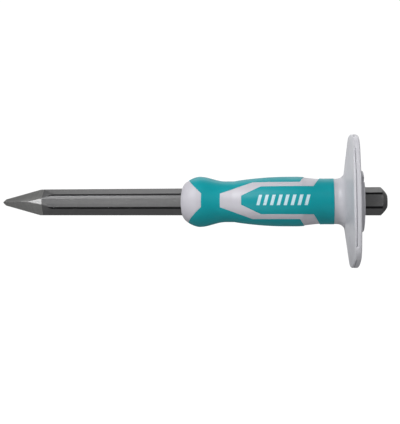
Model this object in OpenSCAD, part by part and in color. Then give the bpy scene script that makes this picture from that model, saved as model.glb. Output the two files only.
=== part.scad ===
// Cold chisel with a bull point, a two-material moulded grip and a hand guard.
// The axis of the tool lies along X: the struck face is at X = 0 and the point is at -X.
// One flat of the hexagonal bar faces -Y, and one corner of the bar points straight up (+Z).

/* [Overall] */
// Which piece to show, or all of them.
// Length of the steel from the struck face to the tip.
overall_length = 300; // [240:1:360]

/* [Steel bar] */
// Size of the hexagonal bar across its flats.
bar_across_flats = 18.5; // [14:0.5:24]
// How far each corner of the hexagon is rounded back towards the axis.
bar_corner_cut = 0.32; // [0.1:0.02:0.6]
// Length of the chamfer around the struck face.
head_chamfer_length = 4.6; // [2:0.1:6]
// Radius of the flat that is struck.
head_face_radius = 4.8; // [4:0.1:8]
// Fullness of the chamfer around the struck face, where 1 is a straight cone and 2 is an ellipse.
head_fullness = 1.15; // [1.05:0.05:2]

/* [Point] */
// Rise of each ridge of the point for one millimetre along the axis.
ridge_slope = 0.262; // [0.2:0.002:0.36]
// Height of the ridges where the blunt tip bevel ends.
tip_bevel_height = 2.6; // [1.6:0.1:4]
// Length of the blunt tip bevel.
tip_bevel_length = 2.3; // [1:0.1:4]
// Height of the ridges on the very end of the tip.
tip_end_height = 0.55; // [0.2:0.05:1.2]
// Distance from the tip at which the relief facet runs out on the flat of the bar.
relief_length = 36.7; // [28:0.1:44]
// Rise of the relief facet for one millimetre along the axis.
relief_slope = 0.084; // [0.08:0.002:0.2]

/* [Grip] */
// Distance from the struck face to the rear end of the grip, where it meets the guard.
grip_rear = 38; // [32:0.5:46]
// Distance from the struck face to the front end of the nose cap.
grip_front = 151; // [140:0.5:165]
// Radius of the small flat ring at the front of the nose cap.
nose_radius = 11.4; // [10.8:0.1:13]
// Largest radius of the front bulge.
front_bulge_radius = 19.25; // [17:0.05:22]
// Distance from the struck face to the middle of the front bulge.
front_bulge_at = 138.5; // [134:0.5:142]
// Fullness of the dome of the nose cap, where 2 is an ellipse.
nose_fullness = 1.55; // [1.3:0.05:2]
// Radius of the waist.
waist_radius = 15.5; // [14.4:0.05:17]
// Distance from the struck face to the front end of the waist.
waist_front = 118; // [114:0.5:121]
// Distance from the struck face to the rear end of the waist.
waist_rear = 111.5; // [108:0.5:113]
// Largest radius of the rear bulge.
rear_bulge_radius = 18.55; // [17:0.05:22]
// Distance from the struck face to the front end of the widest part of the rear bulge.
rear_bulge_front = 74; // [70:0.5:80]
// Distance from the struck face to the rear end of the widest part of the rear bulge.
rear_bulge_rear = 66; // [64:0.5:69]
// Radius of the band beside the guard.
rear_band_radius = 16.95; // [15.8:0.05:18]
// Distance from the struck face to the front end of the band beside the guard.
rear_band_front = 44; // [42:0.5:48]
// Thickness of the soft grip over the hard core.
soft_thickness = 2.2; // [1.6:0.1:2.8]

/* [Grip pattern] */
// Half-height of the blunt ends of the nose tongue and of the arrow.
tongue_half = 5.1; // [3:0.1:7]
// Distance from the struck face to the rear end of the nose tongue.
tongue_rear = 134.4; // [130:0.2:137]
// Slope of the edge of the nose cap, along the axis for each millimetre upwards.
nose_edge_slope = 1.053; // [0.7:0.01:1.3]
// Distance from the struck face to the blunt front end of the arrow.
arrow_front = 120.75; // [116:0.25:126]
// Distance from the struck face to the outer elbow of the arrow.
arrow_elbow = 96.9; // [90:0.2:102]
// Half-height of the outer edge of the arms.
arm_outer_half = 13.7; // [12.5:0.1:14.5]
// Half-height of the inner edge of the arms.
arm_inner_half = 10.3; // [8.5:0.1:11.5]
// Distance from the struck face to the blunt front end of the panel in the arrow.
panel_front = 104.9; // [102:0.2:110]
// Half-height of the blunt front end of the panel.
panel_half = 3.4; // [2:0.1:5]
// Distance from the struck face to the elbow of the panel.
panel_elbow = 90.65; // [86:0.2:95]
// Distance from the struck face at which the outer edge of each arm turns outwards.
arm_turn_outer = 62.3; // [60:0.1:64]
// Distance from the struck face at which the inner edge of each arm turns outwards.
arm_turn_inner = 52.6; // [51:0.1:56]
// Distance along the axis that the turned arm leans back over the top.
arm_lean_outer = 5.1; // [3:0.1:7]
// Distance along the axis that the inner edge of the turned arm leans back.
arm_lean_inner = 7.7; // [5:0.1:8.6]
// How far the arms are sunk below the soft grip where they cross over the top.
crossing_sink = 0.5; // [0.2:0.05:0.9]
// Distance from the struck face to the front of the sunk crossing.
crossing_front = 60.4; // [59:0.1:62]
// Distance from the struck face to the rear of the sunk crossing.
crossing_rear = 47.2; // [45:0.1:48.4]

/* [Hand guard] */
// Half of the size of the guard across its sides.
guard_half = 48.5; // [42:0.5:56]
// Radius of the gentle bulge of each side of the guard.
guard_side_radius = 95; // [80:1:160]
// Radius of the rounded corners of the guard.
guard_corner_radius = 15; // [12:0.5:22]
// Distance from the struck face to the back of the guard plate.
guard_back = 21.5; // [20:0.1:24]
// Distance from the struck face to the front of the guard's rim.
guard_rim_front = 26.7; // [26:0.1:28.5]
// Distance from the struck face to the front of the guard beside the neck fillet.
guard_root_front = 30.14; // [29.5:0.1:31.5]
// Radius of the neck of the guard.
neck_radius = 16.75; // [15.8:0.05:17.6]
// Radius of the fillet between the neck and the plate.
neck_fillet = 5.5; // [4:0.1:7]
// Radius of the rounded front edge of the rim.
rim_front_round = 1.6; // [0.8:0.1:2]
// Radius of the rounded back edge of the rim.
rim_back_round = 1.2; // [0.6:0.1:1.8]
// Distance from the struck face to the middle of the groove in each side.
groove_at = 24.9; // [24.4:0.1:25.1]
// Width of the groove.
groove_width = 0.8; // [0.5:0.1:1.2]
// Depth of the groove.
groove_depth = 0.8; // [0.4:0.1:1.4]
// Half of the length of the groove in each side.
groove_half = 33; // [24:0.5:36]
// Radius of the round boss on the back of the guard.
boss_radius = 22.5; // [20:0.1:26]
// Distance from the struck face to the back of the boss.
boss_back = 17; // [14:0.1:19]
// Radius of the rounded edge of the boss.
boss_round = 0.8; // [0.4:0.1:1.2]
// Height above the axis of the two small notches in the rim of the boss.
notch_height = 14.6; // [12:0.1:16]
// Width of each notch.
notch_width = 4; // [2:0.1:6]
// Depth of each notch along the axis.
notch_depth = 1.8; // [1:0.1:3]
// Distance between the inner ends of the two notches.
notch_gap = 13; // [8:0.5:28]

/* [Hidden] */
$fn = 96;
steel_colour = [0.20, 0.20, 0.21];
hard_colour = [0.74, 0.74, 0.77];
soft_colour = [0.03, 0.50, 0.55];
guard_colour = [0.69, 0.69, 0.72];

// Hexagonal bar.
bar_corner_radius = bar_across_flats / 2 / cos(30);
bar_round_radius = bar_corner_radius - bar_corner_cut;
diagonal = cos(45);
big = 70;

// Tail of the hard core that is held inside the guard.
tail_radius = 13.4;
tail_depth = 14;
tail_rear = grip_rear - tail_depth;

// Outline of the guard: four gentle arcs and four rounded corners.
side_centre = guard_side_radius - guard_half;
inner_radius = guard_side_radius - guard_corner_radius;
tangent_at = (sqrt(2 * inner_radius * inner_radius - side_centre * side_centre) - side_centre) / 2;
// Each corner stands out a hair past a true tangent, so that it crosses the sides cleanly.
corner_at = tangent_at + 0.1;
straight_half = tangent_at * guard_side_radius / inner_radius;
coin_front = guard_rim_front + 0.3;
cone_slope = (guard_root_front - guard_rim_front) / (guard_half - 1.5 - neck_radius - neck_fillet);
fillet_centre_r = neck_radius + neck_fillet;
fillet_centre_d = guard_root_front + neck_fillet;
cone_end = 62;

// Angle from 0 to 180 degrees turned into an easy rise from 0 to 1.
function ease(u) = (1 - cos(180 * u)) / 2;
function mix(a, b, u) = a + (b - a) * u;
function share(d, from, to) = (d - from) / (to - from);

// Radius of the grip at the distance d from the struck face.
function dome_radius(d) = nose_radius + (front_bulge_radius - nose_radius)
    * pow(max(0, 1 - pow(share(d, front_bulge_at, grip_front), nose_fullness)), 1 / nose_fullness);
function neck_down_radius(d) = mix(waist_radius, front_bulge_radius, ease(share(d, waist_front, front_bulge_at)));
function swell_radius(d) = mix(waist_radius, rear_bulge_radius,
    pow(sin(90 * share(d, waist_rear, rear_bulge_front)), 0.85));
function tail_off_radius(d) = mix(rear_band_radius, rear_bulge_radius,
    ease(share(d, rear_band_front, rear_bulge_rear)));
function grip_radius(d) = d > front_bulge_at ? dome_radius(d)
    : d > waist_front ? neck_down_radius(d)
    : d > waist_rear ? waist_radius
    : d > rear_bulge_front ? swell_radius(d)
    : d > rear_bulge_rear ? rear_bulge_radius
    : d > rear_band_front ? tail_off_radius(d)
    : rear_band_radius;

// Stations along the grip, closer together towards the front of the dome.
function dome_station(u) = mix(grip_front, front_bulge_at, 1 - cos(90 * u));
stations = concat(
    [for (i = [0 : 11]) dome_station(i / 12)],
    [for (i = [0 : 12]) mix(front_bulge_at, waist_front, i / 12)],
    [for (i = [0 : 18]) mix(waist_rear, rear_bulge_front, i / 18)],
    [for (i = [0 : 8]) mix(rear_bulge_rear, rear_band_front, i / 8)],
    [grip_rear]);

// Turns a shape made around Z so that its axis is X.
module along_x() {
    rotate([0, 90, 0])
        children();
}

// Revolves points given as [radius, distance from the struck face].
module turned(points) {
    along_x()
        rotate_extrude()
            polygon([for (p = points) [p[0], -p[1]]]);
}

// Extrudes an outline drawn in X and Z right through the tool along Y.
module through_y() {
    rotate([90, 0, 0])
        translate([0, 0, -big])
            linear_extrude(height = 2 * big)
                children();
}

module hexagon(from, to) {
    translate([-from, 0, 0])
        along_x()
            cylinder(r = bar_corner_radius, h = from - to, $fn = 6);
}

// The envelope of the grip, or the same envelope sunk by the given depth.
module grip_envelope(sink) {
    turned(concat(
        [[0, grip_front]],
        [for (d = stations) if (d >= grip_rear) [grip_radius(d) - sink, d]],
        [[0, grip_rear]]));
}

// Everything in front of the edge of the nose cap, in X and Z.
module nose_zone() {
    edge_rise = 22 - tongue_half;
    edge_front = tongue_rear + edge_rise * nose_edge_slope;
    polygon([
        [-grip_front - 5, 22],
        [-edge_front, 22],
        [-tongue_rear, tongue_half],
        [-tongue_rear, -tongue_half],
        [-edge_front, -22],
        [-grip_front - 5, -22]]);
}

// Everything behind the outer edge of the arrow and its arms.
module arrow_zone() {
    polygon([
        [-arrow_front, tongue_half],
        [-arrow_elbow, arm_outer_half],
        [-arm_turn_outer, arm_outer_half],
        [arm_lean_outer - arm_turn_outer, 22],
        [-grip_rear + 5, 22],
        [-grip_rear + 5, -22],
        [arm_lean_outer - arm_turn_outer, -22],
        [-arm_turn_outer, -arm_outer_half],
        [-arrow_elbow, -arm_outer_half],
        [-arrow_front, -tongue_half]]);
}

// Everything inside the arms: the label panel and the rear band.
module panel_zone() {
    polygon([
        [-panel_front, panel_half],
        [-panel_elbow, arm_inner_half],
        [-arm_turn_inner, arm_inner_half],
        [arm_lean_inner - arm_turn_inner, 22],
        [-grip_rear + 10, 22],
        [-grip_rear + 10, -22],
        [arm_lean_inner - arm_turn_inner, -22],
        [-arm_turn_inner, -arm_inner_half],
        [-panel_elbow, -arm_inner_half],
        [-panel_front, -panel_half]]);
}

// The hard parts of the pattern, right through the grip.
module hard_zone() {
    through_y()
        union() {
            nose_zone();
            difference() {
                arrow_zone();
                panel_zone();
            }
        }
}

// Shallow ring taken off the arms where they cross over the top and the bottom.
module crossing_ring() {
    turned(concat(
        [[30, crossing_front]],
        [for (i = [0 : 6]) [
            grip_radius(mix(crossing_front, crossing_rear, i / 6)) - crossing_sink,
            mix(crossing_front, crossing_rear, i / 6)]],
        [[30, crossing_rear]]));
}

// One coin of the guard's rim: a disc with a rounded front edge and a rounded back edge.
module coin(radius) {
    thickness = coin_front - guard_back;
    translate([-coin_front, 0, 0])
        along_x()
            rotate_extrude()
                union() {
                    square([radius - rim_front_round, thickness - rim_back_round]);
                    square([radius - rim_back_round - 1, thickness]);
                    translate([0, rim_front_round])
                        square([radius, thickness - rim_front_round - rim_back_round]);
                    translate([radius - rim_front_round, rim_front_round])
                        circle(r = rim_front_round);
                    translate([radius - rim_back_round, thickness - rim_back_round])
                        circle(r = rim_back_round);
                    translate([radius - rim_back_round - 2, thickness - rim_back_round - 1])
                        square([2, rim_back_round + 1]);
                }
}

// Outline of the guard with rounded edges, still flat on both faces.
module guard_slab() {
    intersection() {
        translate([0, side_centre, 0])
            coin(guard_side_radius);
        translate([0, -side_centre, 0])
            coin(guard_side_radius);
        translate([0, 0, side_centre])
            coin(guard_side_radius);
        translate([0, 0, -side_centre])
            coin(guard_side_radius);
        union() {
            translate([-40, -big, -straight_half])
                cube([30, 2 * big, 2 * straight_half]);
            translate([-40, -straight_half, -big])
                cube([30, 2 * straight_half, 2 * big]);
            for (sy = [-1, 1])
                for (sz = [-1, 1])
                    translate([0, sy * corner_at, sz * corner_at])
                        coin(guard_corner_radius);
        }
    }
}

// Turned shape of the neck, the fillet and the gently conical front of the guard.
module guard_front() {
    fillet_end = atan(cone_slope);
    turned(concat(
        [[0, grip_rear], [neck_radius, grip_rear]],
        [for (i = [0 : 8])
            [fillet_centre_r - neck_fillet * cos((90 - fillet_end) * i / 8),
             fillet_centre_d - neck_fillet * sin((90 - fillet_end) * i / 8)]],
        [[cone_end, guard_root_front - cone_slope * (cone_end - fillet_centre_r)],
         [cone_end, guard_back], [0, guard_back]]));
}

// Groove along the middle of one side of the rim.
module side_groove() {
    translate([-groove_at - groove_width / 2, 0, 0])
        along_x()
            linear_extrude(height = groove_width)
                difference() {
                    translate([-groove_half, guard_half / 2])
                        square([2 * groove_half, guard_half]);
                    translate([0, -side_centre])
                        circle(r = guard_side_radius - groove_depth);
                }
}

// Forged and ground hexagonal steel bar with a four-sided point.
module chisel_bar() {
    flat_half = bar_across_flats / 2;
    ridge_start = tip_bevel_height - ridge_slope * tip_bevel_length;
    ridge_full = (bar_corner_radius * 1.5 - ridge_start) / ridge_slope;
    wide = bar_corner_radius * 1.5;
    color(steel_colour)
        intersection() {
            hexagon(overall_length, 0);
            turned(concat(
                [[0, 0]],
                [for (i = [0 : 6])
                    [mix(head_face_radius, bar_round_radius, sin(15 * i)),
                     head_chamfer_length
                         * (1 - pow(1 - pow(sin(15 * i), head_fullness), 1 / head_fullness))]],
                [[bar_round_radius, overall_length], [0, overall_length]]));
            for_point_wedge(45, ridge_start, ridge_full, wide);
            for_point_wedge(-45, ridge_start, ridge_full, wide);
            through_z()
                polygon([
                    [-overall_length, flat_half - relief_slope * relief_length],
                    [relief_length - overall_length, flat_half],
                    [relief_length - overall_length + 5, flat_half + 1],
                    [1, flat_half + 1],
                    [1, -flat_half - 1],
                    [relief_length - overall_length + 5, -flat_half - 1],
                    [relief_length - overall_length, -flat_half],
                    [-overall_length, relief_slope * relief_length - flat_half]]);
        }
}

// Extrudes an outline drawn in X and Y right through the tool along Z.
module through_z() {
    translate([0, 0, -big])
        linear_extrude(height = 2 * big)
            children();
}

// Pair of opposite faces of the point, leaned over by the given angle.
module for_point_wedge(lean, ridge_start, ridge_full, wide) {
    end_half = tip_end_height * diagonal;
    bevel_half = tip_bevel_height * diagonal;
    full_half = wide * diagonal;
    rotate([lean, 0, 0])
        through_z()
            polygon([
                [-overall_length, end_half],
                [tip_bevel_length - overall_length, bevel_half],
                [ridge_full - overall_length, full_half],
                [ridge_full - overall_length + 5, full_half + 5],
                [1, full_half + 5],
                [1, -full_half - 5],
                [ridge_full - overall_length + 5, -full_half - 5],
                [ridge_full - overall_length, -full_half],
                [tip_bevel_length - overall_length, -bevel_half],
                [-overall_length, -end_half]]);
}

// Hard moulded core: nose cap, arrows with their arms, and the sleeve under the soft grip.
module grip_core() {
    color(hard_colour)
        difference() {
            union() {
                grip_envelope(soft_thickness);
                intersection() {
                    grip_envelope(0);
                    hard_zone();
                }
                turned([[0, grip_rear + 1], [tail_radius, grip_rear + 1], [tail_radius, tail_rear], [0, tail_rear]]);
            }
            crossing_ring();
            hexagon(grip_front + 1, tail_rear - 1);
        }
}

// Soft front moulding: the waist band and the ribbons along the top and the bottom.
module front_grip() {
    color(soft_colour)
        difference() {
            grip_envelope(0);
            grip_envelope(soft_thickness);
            through_y()
                union() {
                    nose_zone();
                    arrow_zone();
                }
        }
}

// Soft rear moulding: the band beside the guard and the label panel on both sides.
module rear_grip() {
    color(soft_colour)
        difference() {
            intersection() {
                grip_envelope(0);
                through_y()
                    panel_zone();
            }
            grip_envelope(soft_thickness);
        }
}

// Hand guard: rounded square plate, conical front, neck around the core and boss on the back.
module hand_guard() {
    color(guard_colour)
        difference() {
            union() {
                intersection() {
                    guard_front();
                    union() {
                        guard_slab();
                        turned([[0, grip_rear + 1], [28, grip_rear + 1], [28, guard_back], [0, guard_back]]);
                    }
                }
                turned([
                    [0, guard_back + 1],
                    [boss_radius, guard_back + 1],
                    [boss_radius, boss_back + boss_round],
                    [boss_radius - boss_round, boss_back],
                    [0, boss_back]]);
            }
            for (turn = [0 : 90 : 270])
                rotate([turn, 0, 0])
                    side_groove();
            turned([[0, grip_rear + 1], [tail_radius, grip_rear + 1], [tail_radius, tail_rear], [0, tail_rear]]);
            hexagon(grip_rear + 1, boss_back - 1);
            for (side = [0, 1])
                mirror([0, side, 0])
                    translate([-boss_back - notch_depth, notch_gap / 2, notch_height - notch_width / 2])
                        cube([notch_depth + 1, boss_radius, notch_width]);
        }
}

chisel_bar();
grip_core();
front_grip();
rear_grip();
hand_guard();
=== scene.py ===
import math

import bmesh
import bpy
from mathutils import Matrix, Vector


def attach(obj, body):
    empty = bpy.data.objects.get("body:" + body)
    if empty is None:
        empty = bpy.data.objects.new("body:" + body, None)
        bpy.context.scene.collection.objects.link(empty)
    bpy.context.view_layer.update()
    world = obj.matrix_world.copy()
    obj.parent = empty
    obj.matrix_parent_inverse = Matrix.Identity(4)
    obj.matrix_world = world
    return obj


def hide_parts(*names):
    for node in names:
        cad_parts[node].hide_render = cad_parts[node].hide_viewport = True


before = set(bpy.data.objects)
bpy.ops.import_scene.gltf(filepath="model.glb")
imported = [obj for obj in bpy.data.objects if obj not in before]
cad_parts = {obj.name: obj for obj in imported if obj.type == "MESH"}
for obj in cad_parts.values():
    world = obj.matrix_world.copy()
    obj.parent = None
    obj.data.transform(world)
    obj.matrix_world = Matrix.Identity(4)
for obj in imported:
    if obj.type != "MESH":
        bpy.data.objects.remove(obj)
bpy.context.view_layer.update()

# ---------------------------------------------------------------- camera
# The tool is seen from beside its grip and a little below it, with its struck
# end turned slightly towards the viewer.
camera_data = bpy.data.cameras.new("bench camera")
camera_data.lens = 52.63
camera_data.sensor_width = 36
camera_data.shift_y = -0.089
camera_data.clip_start = 0.01
camera = bpy.data.objects.new("bench camera", camera_data)
camera.location = (-0.0570, -0.4678, -0.0319)
camera.rotation_euler = (math.radians(96.39), math.radians(-0.47), math.radians(9.82))
bpy.context.collection.objects.link(camera)
bpy.context.scene.camera = camera

# ---------------------------------------------------------------- steel bar
# One length of 18.5 mm hexagonal bar, hardened steel. The four faces of the point
# are forged and ground, and the struck end is turned to a rounded chamfer.
BAR_LENGTH = 300.0
HALF_FLATS = 9.25
ROUNDED_CORNER = 10.36
BAR_COLUMNS = 144
HEAD_CHAMFER = 4.6
HEAD_FACE = 4.8
HEAD_FULLNESS = 1.15
HEAD_STEPS = 8
PLAIN_BEFORE_HEAD = 4.0
TIP_HALF = 0.55
BEVEL_LENGTH = 2.3
RIDGE_AT_BEVEL = 2.6
RIDGE_SLOPE = 0.262
RELIEF_LENGTH = 36.7
RELIEF_SLOPE = 0.084
GROUND_FROM_TIP = 34.7
POINT_LENGTH = 60.0
LONGEST_FACET_EDGE = 45.0
FACET_ROUNDING = 0.16
DIAGONAL = math.cos(math.radians(45))


def hexagon_radius(angle):
    """Distance from the axis to the side of the bar, with its corners rounded off."""
    from_flat = (angle + math.pi / 6) % (math.pi / 3) - math.pi / 6
    return min(HALF_FLATS / math.cos(from_flat), ROUNDED_CORNER)


def angle_of(vert):
    """Angle of a point around the axis of the tool, from the side that faces -Y, upwards."""
    return math.atan2(vert.co.z, -vert.co.y)


def set_radius(vert, radius):
    """Move a point straight out from the axis, or in towards it."""
    angle = angle_of(vert)
    vert.co.y = -radius * math.cos(angle)
    vert.co.z = radius * math.sin(angle)


def radius_of(vert):
    return math.hypot(vert.co.y, vert.co.z)


def make_piece(name, shape, material, node, sharp_degrees):
    """Turn a shape drawn in millimetres into a piece of the tool that rides on its body."""
    bmesh.ops.scale(shape, verts=shape.verts, vec=(0.001, 0.001, 0.001))
    mesh = bpy.data.meshes.new(name)
    shape.to_mesh(mesh)
    shape.free()
    mesh.shade_smooth()
    mesh.set_sharp_from_angle(angle=math.radians(sharp_degrees))
    piece = bpy.data.objects.new(name, mesh)
    bpy.context.collection.objects.link(piece)
    mesh.materials.append(material)
    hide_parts(node)
    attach(piece, "root")


def cut_away(shape, point, normal):
    """Saw off what lies beyond a plane and close the cut with one flat face."""
    everything = shape.verts[:] + shape.edges[:] + shape.faces[:]
    sawn = bmesh.ops.bisect_plane(shape, geom=everything, dist=0.0005, plane_co=point,
                                  plane_no=normal, clear_outer=True)
    rim = [part for part in sawn["geom_cut"] if isinstance(part, bmesh.types.BMEdge)]
    bmesh.ops.holes_fill(shape, edges=rim, sides=0)


bar = bmesh.new()
bmesh.ops.create_circle(bar, segments=BAR_COLUMNS, radius=HALF_FLATS)
bmesh.ops.rotate(bar, verts=bar.verts, matrix=Matrix.Rotation(math.radians(90), 3, "Y"))
for vert in bar.verts:
    set_radius(vert, hexagon_radius(angle_of(vert)))
bmesh.ops.translate(bar, verts=bar.verts, vec=(-BAR_LENGTH, 0, 0))
rim = bar.edges[:]
head_rings = [(-HEAD_CHAMFER - PLAIN_BEFORE_HEAD, math.inf)]
for step in range(HEAD_STEPS + 1):
    out = math.sin(math.radians(90 - 90 / HEAD_STEPS * step))
    head_rings.append((-HEAD_CHAMFER * (1 - (1 - out ** HEAD_FULLNESS) ** (1 / HEAD_FULLNESS)),
                       HEAD_FACE + (ROUNDED_CORNER - HEAD_FACE) * out))
last_x = -BAR_LENGTH
for ring_x, ring_radius in head_rings:
    grown = bmesh.ops.extrude_edge_only(bar, edges=rim)["geom"]
    ring_verts = [part for part in grown if isinstance(part, bmesh.types.BMVert)]
    rim = [part for part in grown if isinstance(part, bmesh.types.BMEdge)
           and all(vert in ring_verts for vert in part.verts)]
    bmesh.ops.translate(bar, verts=ring_verts, vec=(ring_x - last_x, 0, 0))
    for vert in ring_verts:
        set_radius(vert, min(hexagon_radius(angle_of(vert)), ring_radius))
    last_x = ring_x
bmesh.ops.holes_fill(bar, edges=bar.edges[:], sides=0)

# Four faces make the point, and four steeper ones blunt its very end.
bevel_slope = (RIDGE_AT_BEVEL - TIP_HALF) / BEVEL_LENGTH
for up in (-1, 1):
    for across in (-1, 1):
        on_face = (BEVEL_LENGTH - BAR_LENGTH, across * RIDGE_AT_BEVEL / 2, up * RIDGE_AT_BEVEL / 2)
        for slope in (RIDGE_SLOPE, bevel_slope):
            cut_away(bar, on_face, (-slope * DIAGONAL, across * DIAGONAL, up * DIAGONAL))
# A shallow relief is ground on the near flat and the far one, beside the point.
for across in (-1, 1):
    cut_away(bar, (RELIEF_LENGTH - BAR_LENGTH, across * HALF_FLATS, 0), (-RELIEF_SLOPE, across, 0))
bmesh.ops.remove_doubles(bar, verts=bar.verts, dist=0.001)
bmesh.ops.recalc_face_normals(bar, faces=bar.faces)
facet_edges = [edge for edge in bar.edges
               if edge.calc_face_angle(0) > math.radians(5)
               and max(vert.co.x for vert in edge.verts) < POINT_LENGTH - BAR_LENGTH
               and abs(edge.verts[0].co.x - edge.verts[1].co.x) < LONGEST_FACET_EDGE]
bmesh.ops.bevel(bar, geom=facet_edges, offset=FACET_ROUNDING, offset_type="OFFSET", segments=2,
                profile=0.5, affect="EDGES", clamp_overlap=True, material=-1)

# Marks the relief facets, which the steel gives a painted highlight and a rougher surface.
relief_layer = bar.faces.layers.float.new("relief")
relief_sides = [Vector((-RELIEF_SLOPE, across, 0)).normalized() for across in (-1, 1)]
for face in bar.faces:
    facing = max(face.normal.dot(side) for side in relief_sides)
    face[relief_layer] = 1.0 if facing > 0.9995 else 0.0


def add_node(tree, kind, settings=None, inputs=None):
    """Add one node, with its settings, its values and what is wired into it."""
    made = tree.nodes.new(kind)
    for key, value in (settings or {}).items():
        setattr(made, key, value)
    for key, value in (inputs or {}).items():
        if isinstance(value, bpy.types.NodeSocket):
            tree.links.new(value, made.inputs[key])
        else:
            made.inputs[key].default_value = value
    return made


def maths(tree, operation, *values):
    """One sum, product or comparison of values and sockets."""
    made = tree.nodes.new("ShaderNodeMath")
    made.operation = operation
    for index, value in enumerate(values):
        if isinstance(value, bpy.types.NodeSocket):
            tree.links.new(value, made.inputs[index])
        else:
            made.inputs[index].default_value = value
    return made.outputs[0]


def ramp(tree, value, low, high, to_low=0.0, to_high=1.0):
    """An even rise from one value to another, smooth at both ends."""
    made = add_node(tree, "ShaderNodeMapRange", {"interpolation_type": "SMOOTHSTEP"},
                    {"Value": value, "From Min": low, "From Max": high,
                     "To Min": to_low, "To Max": to_high})
    return made.outputs["Result"]


def blend_colours(tree, share, first, second):
    """Mix two colours by a share that may change over the surface."""
    made = tree.nodes.new("ShaderNodeMix")
    made.data_type = "RGBA"
    for index, value in ((0, share), (6, first), (7, second)):
        if isinstance(value, bpy.types.NodeSocket):
            tree.links.new(value, made.inputs[index])
        else:
            made.inputs[index].default_value = value
    return made.outputs[2]


def noise(tree, vector, scale, detail=3.0, roughness=0.5, stretch=None):
    """Soft random pattern. stretch draws it out along the axes."""
    if stretch:
        vector = add_node(tree, "ShaderNodeMapping", None,
                          {"Vector": vector, "Scale": stretch}).outputs["Vector"]
    made = add_node(tree, "ShaderNodeTexNoise", None,
                    {"Vector": vector, "Scale": scale, "Detail": detail, "Roughness": roughness})
    return made.outputs["Fac"]


def new_group(name, values, outputs):
    """An empty shader group with named number inputs and named outputs."""
    group = bpy.data.node_groups.new(name, "ShaderNodeTree")
    for label, default in values:
        socket = group.interface.new_socket(label, in_out="INPUT", socket_type="NodeSocketFloat")
        socket.default_value = default
    for label in outputs:
        group.interface.new_socket(label, in_out="OUTPUT", socket_type="NodeSocketFloat")
    entry = group.nodes.new("NodeGroupInput").outputs
    leave = group.nodes.new("NodeGroupOutput").inputs
    place = group.nodes.new("ShaderNodeTexCoord").outputs["Object"]
    return group, entry, leave, place


def use_group(tree, group, **values):
    """Place a group in a material with its own values."""
    made = tree.nodes.new("ShaderNodeGroup")
    made.node_tree = group
    for label, value in values.items():
        socket = made.inputs[label.replace("_", " ")]
        if isinstance(value, bpy.types.NodeSocket):
            tree.links.new(value, socket)
        else:
            socket.default_value = value
    return made.outputs


def new_material(name, **plain):
    """A material with one shader, and the sockets of that shader that are the same all over."""
    material = bpy.data.materials.new(name)
    material.use_nodes = True
    tree = material.node_tree
    shader = tree.nodes["Principled BSDF"]
    for label, value in plain.items():
        shader.inputs[label.replace("_", " ")].default_value = value
    place = tree.nodes.new("ShaderNodeTexCoord").outputs["Object"]
    return material, tree, shader.inputs, place


# Knocks and rubbing: random scratches, and soft patches where the surface is worn.
scuffs, entry, leave, place = new_group(
    "scuffs", [("Fineness", 1.0), ("Amount", 0.5)], ["Scratches", "Patches"])
fine = maths(scuffs, "MULTIPLY", entry["Fineness"], 900.0)
turned = add_node(scuffs, "ShaderNodeMapping", None,
                  {"Vector": place, "Rotation": (0.5, 0.3, 0.6), "Scale": (0.06, 1.0, 1.0)})
crossed = add_node(scuffs, "ShaderNodeMapping", None,
                   {"Vector": place, "Rotation": (0.2, 0.9, -0.7), "Scale": (1.0, 0.05, 1.0)})
first_marks = ramp(scuffs, noise(scuffs, turned.outputs["Vector"], fine, 2.0), 0.68, 0.74)
second_marks = ramp(scuffs, noise(scuffs, crossed.outputs["Vector"], fine, 2.0), 0.69, 0.75)
where = ramp(scuffs, noise(scuffs, place, 45.0, 3.0), 0.45, 0.62)
marks = maths(scuffs, "MULTIPLY", maths(scuffs, "MAXIMUM", first_marks, second_marks), where)
scuffs.links.new(maths(scuffs, "MULTIPLY", marks, entry["Amount"]), leave["Scratches"])
patches = ramp(scuffs, noise(scuffs, place, 70.0, 5.0, 0.6), 0.42, 0.66)
scuffs.links.new(maths(scuffs, "MULTIPLY", patches, entry["Amount"]), leave["Patches"])

# The steel is dark along the bar, with painted shade on the rounded lands beside its corners, and bright
# where it is ground; the relief facets also get a painted highlight.
steel, tree, steel_sockets, place = new_material("dark forged steel", Metallic=1.0)
axes = add_node(tree, "ShaderNodeSeparateXYZ", None, {"Vector": place}).outputs
around = maths(tree, "ARCTAN2", axes["Z"], maths(tree, "MULTIPLY", axes["Y"], -1.0))
sixths = maths(tree, "MULTIPLY", around, 3 / math.pi)
from_corner = maths(tree, "ABSOLUTE", maths(tree, "SUBTRACT", maths(tree, "FRACT", sixths), 0.5))
outwards = maths(tree, "SQRT", maths(tree, "ADD", maths(tree, "POWER", axes["Y"], 2.0),
                                    maths(tree, "POWER", axes["Z"], 2.0)))
# Mask of the rounded corner lands, where painted shade stands in for the dark that they reflect.
painted_corner_shade = maths(tree, "MULTIPLY", ramp(tree, from_corner, 0.100, 0.070),
               ramp(tree, outwards, 0.0094, 0.0099))
wobble = noise(tree, place, 160.0, 4.0, 0.6)
bulge = maths(tree, "MULTIPLY", maths(tree, "ABSOLUTE", axes["Y"]), -0.22)
wavering = maths(tree, "ADD", axes["X"], maths(tree, "MULTIPLY", wobble, 0.0010))
edge_of_grind = maths(tree, "ADD", wavering, bulge)
ground = ramp(tree, edge_of_grind, (GROUND_FROM_TIP - BAR_LENGTH + 0.8) / 1000,
              (GROUND_FROM_TIP - BAR_LENGTH + 0.2) / 1000)
scale_spots = noise(tree, place, 420.0, 6.0, 0.65)
long_streaks = noise(tree, place, 260.0, 4.0, 0.6, (0.05, 1.0, 1.0))
grind_lines = noise(tree, place, 900.0, 3.0, 0.5, (1.0, 0.03, 0.03))
wear = use_group(tree, scuffs, Fineness=1.0, Amount=0.6)
dark_tone = blend_colours(tree, scale_spots, (0.130, 0.130, 0.132, 1), (0.190, 0.190, 0.192, 1))
dark_tone = blend_colours(tree, maths(tree, "MULTIPLY", long_streaks, 0.5), dark_tone, (0.20, 0.20, 0.20, 1))
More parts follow.
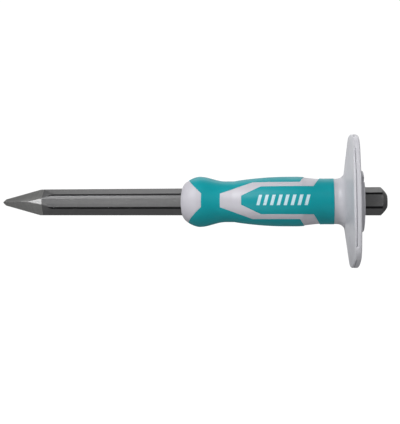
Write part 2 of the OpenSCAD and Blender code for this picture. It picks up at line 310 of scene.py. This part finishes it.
# Painted shade: the rounded corner lands are painted almost black.
dark_tone = blend_colours(tree, maths(tree, "MULTIPLY", painted_corner_shade, 0.95), dark_tone, (0.010, 0.010, 0.011, 1))
dark_tone = blend_colours(tree, wear["Scratches"], dark_tone, (0.34, 0.34, 0.34, 1))
ground_tone = blend_colours(tree, grind_lines, (0.30, 0.30, 0.295, 1), (0.46, 0.46, 0.45, 1))
relief = add_node(tree, "ShaderNodeAttribute", {"attribute_name": "relief"}).outputs["Fac"]
# Painted highlight: the relief facets are the same ground steel, painted lighter for the light they catch.
ground_tone = blend_colours(tree, relief, ground_tone, (0.58, 0.58, 0.58, 1))
tone = blend_colours(tree, ground, dark_tone, ground_tone)
tree.links.new(tone, steel_sockets["Base Color"])
rough = maths(tree, "ADD", maths(tree, "MULTIPLY", scale_spots, 0.16), 0.40)
rough = maths(tree, "SUBTRACT", rough, maths(tree, "MULTIPLY", ground, 0.10))
rough = maths(tree, "ADD", rough, maths(tree, "MULTIPLY", relief, 0.14))
tree.links.new(rough, steel_sockets["Roughness"])
surface = maths(tree, "ADD", maths(tree, "MULTIPLY", scale_spots, 0.6),
                maths(tree, "MULTIPLY", maths(tree, "MULTIPLY", grind_lines, ground), 0.7))
bump = add_node(tree, "ShaderNodeBump", None, {"Height": surface, "Strength": 0.35, "Distance": 0.0002})
tree.links.new(bump.outputs["Normal"], steel_sockets["Normal"])
make_piece("steel_bar", bar, steel, "chisel_bar", 18)

# ---------------------------------------------------------------- grip core
# The hard core of the grip is light grey plastic, moulded round the bar. It is the
# nose cap, an arrow with two arms on each side, and a thinner sleeve that carries
# the soft parts and plugs into the guard.
GRIP_FRONT = 151.0
GRIP_REAR = 38.0
NOSE_RADIUS = 11.4
NOSE_FULLNESS = 1.55
FRONT_BULGE = 19.25
FRONT_BULGE_AT = 138.5
WAIST = 15.5
WAIST_FRONT = 118.0
WAIST_REAR = 111.5
REAR_BULGE = 18.55
REAR_BULGE_FRONT = 74.0
REAR_BULGE_REAR = 66.0
REAR_BULGE_FULLNESS = 0.85
REAR_BAND = 16.95
REAR_BAND_FRONT = 44.0
SOFT_THICKNESS = 2.2
BORE = 10.4
SLEEVE_BORE = 10.5
SLEEVE_GAP = 0.05
PLUG_RADIUS = 13.4
PLUG_END = 24.0
RIM_WIDTH = 0.22
RIM_SINK = 0.16
CROSSING_FRONT = 60.4
CROSSING_SLOPE = 1.6
CROSSING_SINK = 0.5
CUT_MARGIN = 1.6
NOSE_SET_BACK = 14.0
NOSE_STEPS = 16
GRIP_COLUMNS = 216
SNAP = 0.001


def ease(share):
    """Rise from 0 to 1, level at both ends."""
    return (1 - math.cos(math.pi * share)) / 2


def grip_radius(d):
    """Radius of the grip at the distance d from the struck face."""
    if d > FRONT_BULGE_AT:
        share = (d - FRONT_BULGE_AT) / (GRIP_FRONT - FRONT_BULGE_AT)
        full = max(0, 1 - share ** NOSE_FULLNESS) ** (1 / NOSE_FULLNESS)
        return NOSE_RADIUS + (FRONT_BULGE - NOSE_RADIUS) * full
    if d > WAIST_FRONT:
        return WAIST + (FRONT_BULGE - WAIST) * ease((d - WAIST_FRONT) / (FRONT_BULGE_AT - WAIST_FRONT))
    if d > WAIST_REAR:
        return WAIST
    if d > REAR_BULGE_FRONT:
        full = math.sin(math.pi / 2 * (WAIST_REAR - d) / (WAIST_REAR - REAR_BULGE_FRONT))
        return WAIST + (REAR_BULGE - WAIST) * full ** REAR_BULGE_FULLNESS
    if d > REAR_BULGE_REAR:
        return REAR_BULGE
    if d > REAR_BAND_FRONT:
        share = (d - REAR_BAND_FRONT) / (REAR_BULGE_REAR - REAR_BAND_FRONT)
        return REAR_BAND + (REAR_BULGE - REAR_BAND) * ease(share)
    return REAR_BAND


def turn_profile(points, steps, closed):
    """Spin an outline of (radius, distance from the struck face) once round the axis."""
    shape = bmesh.new()
    outline = [shape.verts.new((-d, -radius, 0)) for radius, d in points]
    edges = [shape.edges.new(pair) for pair in zip(outline, outline[1:])]
    if closed:
        edges.append(shape.edges.new((outline[-1], outline[0])))
    bmesh.ops.spin(shape, geom=outline + edges, cent=(0, 0, 0), axis=(1, 0, 0), dvec=(0, 0, 0),
                   angle=math.tau, steps=steps, use_merge=True)
    bmesh.ops.remove_doubles(shape, verts=shape.verts, dist=0.0005)
    bmesh.ops.recalc_face_normals(shape, faces=shape.faces)
    return shape


# The skin of the whole grip, with its rings closer together round the nose and 1 mm apart behind.
stations = [GRIP_FRONT - NOSE_SET_BACK * (1 - math.cos(math.pi / 2 * step / NOSE_STEPS))
            for step in range(NOSE_STEPS)]
stations += [FRONT_BULGE_AT - step for step in range(math.ceil(FRONT_BULGE_AT - GRIP_REAR))]
skin_outline = [(SLEEVE_BORE, GRIP_FRONT)]
skin_outline += [(grip_radius(d), d) for d in stations]
skin_outline += [(REAR_BAND, GRIP_REAR)]
skin = turn_profile(skin_outline, GRIP_COLUMNS, False)

# Lines of the pattern, seen from the side, as (distance from the struck face, height).
nose_line = [(150.4, 20.3), (134.4, 5.1), (134.4, -5.1), (150.4, -20.3)]
arrow_line = [(58.4, 20.1), (62.3, 13.7), (96.9, 13.7), (120.75, 5.1)]
panel_line = [(46.2, 20.1), (52.6, 10.3), (90.65, 10.3), (104.9, 3.4)]
arrow_line += [(d, -height) for d, height in reversed(arrow_line)]
panel_line += [(d, -height) for d, height in reversed(panel_line)]


def cut_line(shape, start, end):
    """Score the skin along one straight line of the pattern, on both sides of the grip."""
    first, last = Vector((-start[0], 0, start[1])), Vector((-end[0], 0, end[1]))
    low = [min(first[i], last[i]) - CUT_MARGIN for i in (0, 2)]
    high = [max(first[i], last[i]) + CUT_MARGIN for i in (0, 2)]
    near = []
    for face in shape.faces:
        centre = face.calc_center_median()
        if low[0] < centre.x < high[0] and low[1] < centre.z < high[1]:
            near.append(face)
    edges = {edge for face in near for edge in face.edges}
    verts = {vert for face in near for vert in face.verts}
    bmesh.ops.bisect_plane(shape, geom=near + list(edges) + list(verts), dist=SNAP,
                           plane_co=first, plane_no=(last - first).cross(Vector((0, 1, 0))))


for line in (nose_line, arrow_line, panel_line):
    for start, end in zip(line, line[1:]):
        cut_line(skin, start, end)
bmesh.ops.dissolve_degenerate(skin, dist=0.02, edges=skin.edges)


def edge_at(line, height):
    """Distance from the struck face to a line of the pattern at the given height."""
    half = sorted((h, d) for d, h in line if h > 0)
    if height <= half[0][0]:
        return half[0][1]
    for (low, from_d), (high, to_d) in zip(half, half[1:]):
        if height < high:
            return from_d + (to_d - from_d) * (height - low) / (high - low)
    return half[-1][1]


def front_of(line, height):
    """Distance from the struck face to the front of the arrow or of the panel at the given height."""
    (arm_end, end_height), (arm_start, start_height) = line[:2]
    if height > start_height:
        return arm_start - (height - start_height) * (arm_start - arm_end) / (end_height - start_height)
    return edge_at(line[2:6], height)


def zone_of(face):
    """Which moulding a face of the skin belongs to."""
    centre = face.calc_center_median()
    height, d = abs(centre.z), -centre.x
    if d > edge_at(nose_line, height):
        return "nose"
    if d > front_of(arrow_line, height):
        return "front"
    return "arrow" if d > front_of(panel_line, height) else "rear"


def moulding(zone, crossing_sink=0.0):
    """Lift one zone out of the skin, round its rim and give it the thickness of the moulding."""
    part = skin.copy()
    bmesh.ops.delete(part, geom=[face for face in part.faces if zone_of(face) != zone], context="FACES")
    edge_layer = part.verts.layers.float.new("edge")
    bmesh.ops.inset_region(part, faces=part.faces[:], thickness=RIM_WIDTH, use_boundary=True)
    for vert in part.verts:
        vert[edge_layer] = 0.0
        if vert.is_boundary:
            vert[edge_layer] = 1.0
            if -GRIP_FRONT + 0.1 < vert.co.x < -GRIP_REAR - 0.1:
                set_radius(vert, radius_of(vert) - RIM_SINK)
        past_crossing = CROSSING_FRONT + vert.co.x
        if crossing_sink and past_crossing > 0:
            set_radius(vert, radius_of(vert) - crossing_sink * ease(min(1, past_crossing / CROSSING_SLOPE)))
    grown = bmesh.ops.extrude_face_region(part, geom=part.faces[:], use_keep_orig=True)["geom"]
    for vert in grown:
        if isinstance(vert, bmesh.types.BMVert):
            set_radius(vert, max(BORE, radius_of(vert) - SOFT_THICKNESS))
            vert.co.x += max(0, -vert.co.x - FRONT_BULGE_AT) / NOSE_SET_BACK
    bmesh.ops.remove_doubles(part, verts=part.verts, dist=SNAP)
    bmesh.ops.recalc_face_normals(part, faces=part.faces)
    return part


# Fine spark-eroded grain that a mould leaves on plastic, with small shifts of tone.
mould_grain, entry, leave, place = new_group("mould grain", [("Fineness", 1.0)], ["Height", "Tone"])
grain_scale = maths(mould_grain, "MULTIPLY", entry["Fineness"], 1500.0)
pebbles = add_node(mould_grain, "ShaderNodeTexVoronoi", {"feature": "SMOOTH_F1"},
                   {"Vector": place, "Scale": grain_scale, "Smoothness": 0.6}).outputs["Distance"]
pebble_height = maths(mould_grain, "MULTIPLY", pebbles, 0.7)
rough_height = maths(mould_grain, "MULTIPLY", noise(mould_grain, place, grain_scale, 4.0), 0.5)
mould_grain.links.new(maths(mould_grain, "ADD", pebble_height, rough_height), leave["Height"])
mould_grain.links.new(noise(mould_grain, place, 55.0, 5.0, 0.6), leave["Tone"])


def plastic(name, light, dark, worn, roughness, grain, bump_strength, scuff_amount, rim_tint, **plain):
    """A moulded plastic: two close tones, a worn tone on rims and scratches, and a fine grain."""
    material, tree, sockets, place = new_material(name, **plain)
    texture = use_group(tree, mould_grain, Fineness=grain)
    wear = use_group(tree, scuffs, Fineness=0.8, Amount=scuff_amount)
    tone = blend_colours(tree, texture["Tone"], dark, light)
    rim = add_node(tree, "ShaderNodeAttribute", {"attribute_name": "edge"}).outputs["Fac"]
    tone = blend_colours(tree, maths(tree, "MULTIPLY", rim, rim_tint), tone, worn)
    tone = blend_colours(tree, maths(tree, "MULTIPLY", wear["Scratches"], 0.5), tone, worn)
    tree.links.new(tone, sockets["Base Color"])
    rough = maths(tree, "ADD", roughness, maths(tree, "MULTIPLY", wear["Patches"], 0.16))
    rough = maths(tree, "SUBTRACT", rough, maths(tree, "MULTIPLY", texture["Tone"], 0.06))
    tree.links.new(rough, sockets["Roughness"])
    bump = add_node(tree, "ShaderNodeBump", None,
                    {"Height": texture["Height"], "Strength": bump_strength, "Distance": 0.00012})
    tree.links.new(bump.outputs["Normal"], sockets["Normal"])
    return material, tree, sockets, tone, place


hard_plastic = plastic("light grey hard plastic", (0.53, 0.52, 0.565, 1), (0.48, 0.47, 0.515, 1),
                       (0.80, 0.80, 0.82, 1), 0.42, 1.0, 0.18, 0.5, 0.5)[0]
core = moulding("nose")
arrows = moulding("arrow", CROSSING_SINK)
sleeve_outline = [(SLEEVE_BORE, GRIP_FRONT - 1)]
sleeve_outline += [(grip_radius(d) - SOFT_THICKNESS - SLEEVE_GAP, d) for d in stations[12::6]]
sleeve_outline += [(REAR_BAND - SOFT_THICKNESS - SLEEVE_GAP, GRIP_REAR), (PLUG_RADIUS, GRIP_REAR),
                   (PLUG_RADIUS, PLUG_END), (SLEEVE_BORE, PLUG_END)]
sleeve = turn_profile(sleeve_outline, GRIP_COLUMNS // 3, True)
for extra in (arrows, sleeve):
    extra_mesh = bpy.data.meshes.new("part of the core")
    extra.to_mesh(extra_mesh)
    extra.free()
    core.from_mesh(extra_mesh)
    bpy.data.meshes.remove(extra_mesh)
make_piece("grip_hard_core", core, hard_plastic, "grip_core", 42)

# ---------------------------------------------------------------- front soft moulding
# The front soft part is teal rubbery plastic, moulded over the core and flush with
# it. It is a band round the waist, with a ribbon back along the top and the bottom.


def teal_plastic(name):
    """The soft plastic of both teal mouldings."""
    return plastic(name, (0.000, 0.300, 0.342, 1), (0.000, 0.262, 0.298, 1), (0.02, 0.44, 0.49, 1),
                   0.42, 0.7, 0.25, 0.35, 0.35, Specular_IOR_Level=0.28)


soft_plastic = teal_plastic("teal soft plastic")[0]
make_piece("grip_soft_front", moulding("front"), soft_plastic, "front_grip", 42)

# ---------------------------------------------------------------- rear soft moulding
# The rear soft part is the same teal plastic, moulded over the core: the band beside
# the guard and a panel on each side. A row of slanted white bars is printed on each panel.
MARK_FRONT = 94.0
MARK_REAR = 54.5
MARK_HALF = 3.8
MARK_BARS = 8
MARK_LEAN = 0.27
MARK_SOFTNESS = 0.0001
printed, tree, printed_sockets, tone, place = teal_plastic("teal soft plastic with a printed mark")
axes = add_node(tree, "ShaderNodeSeparateXYZ", None, {"Vector": place}).outputs
leaned = maths(tree, "SUBTRACT", maths(tree, "ADD", axes["X"], MARK_FRONT / 1000),
               maths(tree, "MULTIPLY", axes["Z"], MARK_LEAN))
pitch = (MARK_FRONT - MARK_REAR) / 1000 / MARK_BARS
bars_along = maths(tree, "DIVIDE", leaned, pitch)
from_middle = maths(tree, "ABSOLUTE", maths(tree, "SUBTRACT", maths(tree, "FRACT", bars_along), 0.5))
in_bar = ramp(tree, from_middle, 0.25, 0.22)
in_row = maths(tree, "MULTIPLY", maths(tree, "GREATER_THAN", bars_along, 0.0),
               maths(tree, "LESS_THAN", bars_along, float(MARK_BARS)))
in_height = ramp(tree, maths(tree, "ABSOLUTE", axes["Z"]),
                 MARK_HALF / 1000 + MARK_SOFTNESS, MARK_HALF / 1000 - MARK_SOFTNESS)
ink = maths(tree, "MULTIPLY", maths(tree, "MULTIPLY", in_bar, in_row), in_height)
ink_wear = ramp(tree, noise(tree, place, 900.0, 5.0, 0.7), 0.30, 0.40)
ink = maths(tree, "MULTIPLY", ink, ink_wear)
inked = blend_colours(tree, ink, tone, (0.52, 0.70, 0.76, 1))
tree.links.new(inked, printed_sockets["Base Color"])
make_piece("grip_soft_rear", moulding("rear"), printed, "rear_grip", 42)
skin.free()

# ---------------------------------------------------------------- hand guard
# One moulding of hard grey plastic, pushed on to the bar and over the plug of the
# core: a neck behind the grip, a rounded square plate whose front is gently conical,
# and a round boss on its back. It keeps the hammer off the hand.
GUARD_HALF = 48.48
SIDE_RADIUS = 95.0
CORNER_RADIUS = 15.0
GUARD_BACK = 21.5
BOSS_RADIUS = 22.5
BOSS_BACK = 17.0
BOSS_ROUND = 0.8
NECK = 16.75
FILLET = 5.5
FILLET_STEPS = 10
SOCKET = 13.45
BAR_GAP = 0.12
ROUND_UNTIL = 26.0
BACK_ROUND = 1.2
FRONT_ROUND = 1.3
LIP_START = 25.25
GROOVE_AT = 24.8
GROOVE_DEPTH = 0.8
GROOVE_HALF_LENGTH = 33.4
GROOVE_RUN_OUT = 0.5
GROOVE_END_DENT = 0.64
GROOVE_END_WIDTH = 0.55
NOTCH_FLOOR = 18.8
NOTCH_INNER = 15.6
NOTCH_MIDDLE = 45
NOTCH_HALF_TURN = 7.5
NOTCH_LEAN = 4.2
LEAN_FULL_WITHIN = 9
LEAN_FADES_OVER = 14
ROOT_D = 30.14
RIM_FRONT_D = 26.7
CONE_SLOPE = (ROOT_D - RIM_FRONT_D) / (GUARD_HALF - 1.5 - NECK - FILLET)
START_D = 60.0
START_PITCH = 0.5

side_centre = SIDE_RADIUS - GUARD_HALF
inner_radius = SIDE_RADIUS - CORNER_RADIUS
corner_at = (math.sqrt(2 * inner_radius ** 2 - side_centre ** 2) - side_centre) / 2
tangent_angle = math.atan2(corner_at, side_centre + corner_at)
corner_angle = math.atan2(SIDE_RADIUS * math.sin(tangent_angle),
                          SIDE_RADIUS * math.cos(tangent_angle) - side_centre)


def outline_radius(angle):
    """Distance from the axis to the rounded square outline of the guard."""
    from_side = abs((angle + math.pi / 4) % (math.pi / 2) - math.pi / 4)
    if from_side < corner_angle:
        return (math.sqrt(SIDE_RADIUS ** 2 - (side_centre * math.sin(from_side)) ** 2)
                - side_centre * math.cos(from_side))
    along = corner_at * (math.cos(from_side) + math.sin(from_side))
    aside = corner_at * (math.sin(from_side) - math.cos(from_side))
    return along + math.sqrt(CORNER_RADIUS ** 2 - aside ** 2)


def cone_d(radius):
    """Distance from the struck face to the conical front of the plate."""
    return ROOT_D - CONE_SLOPE * (radius - NECK - FILLET)


def even_steps(start, end, count):
    """Evenly spaced values from start up to, but without, end."""
    return [start + (end - start) * step / count for step in range(count)]


def quarter_round(radius, angles):
    """How far in from a rounded edge, and how far along it, the points of its arc lie."""
    return [(radius - radius * math.sin(math.radians(a)), radius - radius * math.cos(math.radians(a)))
            for a in angles]


# Columns round the guard, closer together where the grooves end.
octant = even_steps(0, 36.2, 20) + even_steps(36.2, 38.8, 10) + even_steps(38.8, 45, 4)
quarter = octant + [45.0] + [90 - degrees for degrees in reversed(octant[1:])]
column_angles = [math.radians(90 * turn + degrees) for turn in range(4) for degrees in quarter]

# Rings of the guard, from its bore over the back, the rim and the front to the socket in the neck.
# Each is its kind, a size and a distance: the size is a radius, or how far in from the outline.
rings = [("bore", BAR_GAP, BOSS_BACK), ("round", PLUG_RADIUS, BOSS_BACK)]
rings += [("round", radius, BOSS_BACK)
          for radius in (NOTCH_INNER, NOTCH_INNER + 0.3, 20.0, BOSS_RADIUS - BOSS_ROUND)]
rings += [("round", BOSS_RADIUS - inset, BOSS_BACK + drop)
          for inset, drop in quarter_round(BOSS_ROUND, (30, 60, 90))]
rings += [("round", BOSS_RADIUS, 19.2), ("round", BOSS_RADIUS, 20.7), ("round", 22.65, 21.2),
          ("round", 23.2, GUARD_BACK), ("round", 24.6, GUARD_BACK)]
rings += [("plate", radius, GUARD_BACK) for radius in (ROUND_UNTIL, 32.0, 38.0, 43.0)]
rings += [("rim", inset, GUARD_BACK + rise)
          for inset, rise in quarter_round(BACK_ROUND, (0, 22.5, 45, 67.5, 90))]
rings += [("rim", 0.0, 23.6)]
rings += [("groove", depth, GROOVE_AT + from_middle)
          for depth, from_middle in ((0.0, -0.38), (0.5, -0.28), (1.0, -0.12),
                                     (1.0, 0.12), (0.5, 0.28), (0.0, 0.38))]
rings += [("lip", inset, drop) for inset, drop in quarter_round(FRONT_ROUND, (88, 66, 44, 22, 0))]
rings += [("cone", radius, 0.0) for radius in (44.0, 40.0, 36.0, 32.0, 28.0, ROUND_UNTIL)]
rings += [("round", 24.0, cone_d(24.0))]
fillet_turn = math.pi / 2 - math.atan(CONE_SLOPE)
for step in range(FILLET_STEPS + 1):
    turn = fillet_turn * (1 - step / FILLET_STEPS)
    rings.append(("round", NECK + FILLET - FILLET * math.cos(turn),
                  ROOT_D + FILLET - FILLET * math.sin(turn)))
rings += [("round", NECK, 36.6), ("round", NECK, 37.85), ("round", NECK - 0.15, GRIP_REAR),
          ("round", SOCKET, GRIP_REAR), ("round", SOCKET, PLUG_END), ("bore", BAR_GAP, PLUG_END)]


def guard_point(kind, size, at, angle):
    """Radius, distance from the struck face and angle of the point where a ring meets a column."""
    outline = outline_radius(angle)
    from_side = (angle + math.pi / 4) % (math.pi / 2) - math.pi / 4
    past_groove = abs(outline * math.sin(from_side)) - GROOVE_HALF_LENGTH
    stretched = ROUND_UNTIL + (size - ROUND_UNTIL) * (outline - ROUND_UNTIL) / (GUARD_HALF - ROUND_UNTIL)
    if kind == "bore":
        return hexagon_radius(angle) + size, at, angle
    if kind == "plate":
        return stretched, at, angle
    if kind == "cone":
        return stretched, cone_d(stretched), angle
    if kind == "rim":
        return outline - size, at, angle
    if kind == "groove":
        in_groove = 1 - ease(min(1, max(0, past_groove / GROOVE_RUN_OUT)))
        return outline - GROOVE_DEPTH * size * in_groove, at, angle
    if kind == "lip":
        dent = GROOVE_END_DENT * max(0, 1 - abs(past_groove) / GROOVE_END_WIDTH)
        return outline - size - dent, max(LIP_START, cone_d(outline - FRONT_ROUND) - at), angle
    if NOTCH_INNER <= size <= BOSS_RADIUS and at < GUARD_BACK:
        from_notch = abs(math.degrees(math.asin(math.sin(angle))) - NOTCH_MIDDLE)
        if size > NOTCH_INNER and at < NOTCH_FLOOR and from_notch < NOTCH_HALF_TURN:
            at = NOTCH_FLOOR
        fade = max(0, 1 - max(0, from_notch - LEAN_FULL_WITHIN) / LEAN_FADES_OVER)
        angle -= math.copysign(math.radians(NOTCH_LEAN) * fade, math.cos(angle))
    return size, at, angle


# The rings start as plain circles at even distances, so that a point's place tells its ring and column.
start_outline = [(20.0 + index * 0.2, START_D - index * START_PITCH) for index in range(len(rings))]
guard = turn_profile(start_outline, len(column_angles), True)
edge_layer = guard.verts.layers.float.new("edge")
for vert in guard.verts:
    kind, size, at = rings[round((START_D + vert.co.x) / START_PITCH)]
    share = (angle_of(vert) % math.tau) / math.tau * len(column_angles)
    column_angle = column_angles[round(share) % len(column_angles)]
    radius, d, angle = guard_point(kind, size, at, column_angle)
    vert.co = (-d, -radius * math.cos(angle), radius * math.sin(angle))
    if kind in ("lip", "groove") or (kind == "rim" and size < BACK_ROUND / 2):
        vert[edge_layer] = 0.6
bmesh.ops.recalc_face_normals(guard, faces=guard.faces)
guard_plastic = plastic("grey guard plastic", (0.50, 0.50, 0.535, 1), (0.46, 0.46, 0.495, 1),
                        (0.74, 0.74, 0.77, 1), 0.40, 1.0, 0.16, 0.5, 0.4)[0]
make_piece("guard_moulding", guard, guard_plastic, "hand_guard", 38)

# ---------------------------------------------------------------- studio
# The tool hangs well above a pale floor in a bright even surround. One big soft light
# is above it, one below, one beside the struck end and one behind.
FLOOR_DROP = 0.60
FLOOR_GLOW = 0.95
SURROUND_SEEN = 1.05
bpy.context.scene.view_settings.view_transform = "Standard"
floor_shape = bmesh.new()
bmesh.ops.create_grid(floor_shape, x_segments=1, y_segments=1, size=12)
bmesh.ops.translate(floor_shape, verts=floor_shape.verts, vec=(0, 0, -FLOOR_DROP))
floor_mesh = bpy.data.meshes.new("floor")
floor_shape.to_mesh(floor_mesh)
floor_shape.free()
floor = bpy.data.objects.new("floor", floor_mesh)
bpy.context.collection.objects.link(floor)
floor_material, tree, floor_sockets, place = new_material("pale floor", Roughness=0.9)
paper = blend_colours(tree, noise(tree, place, 3.0, 2.0), (0.42, 0.42, 0.42, 1), (0.45, 0.45, 0.45, 1))
tree.links.new(paper, floor_sockets["Base Color"])
seen = add_node(tree, "ShaderNodeLightPath").outputs["Is Camera Ray"]
floor_sockets["Emission Color"].default_value = (1, 1, 1, 1)
tree.links.new(maths(tree, "MULTIPLY", seen, FLOOR_GLOW), floor_sockets["Emission Strength"])
floor_mesh.materials.append(floor_material)

world = bpy.data.worlds.new("studio")
bpy.context.scene.world = world
world.use_nodes = True
tree = world.node_tree
tree.nodes.clear()
direction = add_node(tree, "ShaderNodeTexCoord").outputs["Generated"]
way = add_node(tree, "ShaderNodeSeparateXYZ", None, {"Vector": direction}).outputs
glow = maths(tree, "MULTIPLY", ramp(tree, way["Z"], -0.6, 0.2, 0.15, 0.24),
             ramp(tree, way["Y"], -1.0, -0.3, 0.45, 1.0))
glow = maths(tree, "ADD", glow, ramp(tree, way["Y"], 0.5, 0.95, 0.0, 0.7))
surround = add_node(tree, "ShaderNodeBackground", None, {"Color": (1, 1, 1, 1), "Strength": glow})
white = add_node(tree, "ShaderNodeBackground", None, {"Color": (1, 1, 1, 1), "Strength": SURROUND_SEEN})
seen = add_node(tree, "ShaderNodeLightPath").outputs["Is Camera Ray"]
either = tree.nodes.new("ShaderNodeMixShader")
tree.links.new(seen, either.inputs[0])
tree.links.new(surround.outputs[0], either.inputs[1])
tree.links.new(white.outputs[0], either.inputs[2])
leave = tree.nodes.new("ShaderNodeOutputWorld")
tree.links.new(either.outputs[0], leave.inputs["Surface"])


def softbox(name, at, aim, size, power):
    """A rectangular soft light that points at a spot on the tool."""
    lamp = bpy.data.lights.new(name, "AREA")
    lamp.shape = "RECTANGLE"
    lamp.size, lamp.size_y = size
    lamp.energy = power
    holder = bpy.data.objects.new(name, lamp)
    holder.location = at
    holder.rotation_euler = (Vector(aim) - Vector(at)).to_track_quat("-Z", "Y").to_euler()
    bpy.context.collection.objects.link(holder)


softbox("key softbox", (-0.50, -0.59, 0.47), (-0.12, 0, 0), (0.6, 0.4), 6.4)
softbox("low softbox", (-0.42, -0.60, -0.34), (-0.15, 0, 0), (0.6, 0.4), 1.4)
softbox("side softbox", (0.60, -0.60, 0.15), (-0.08, 0, 0), (0.6, 0.4), 2.6)
softbox("back softbox", (-0.15, 0.55, 0.80), (-0.15, 0, 0), (1.2, 0.4), 2.4)
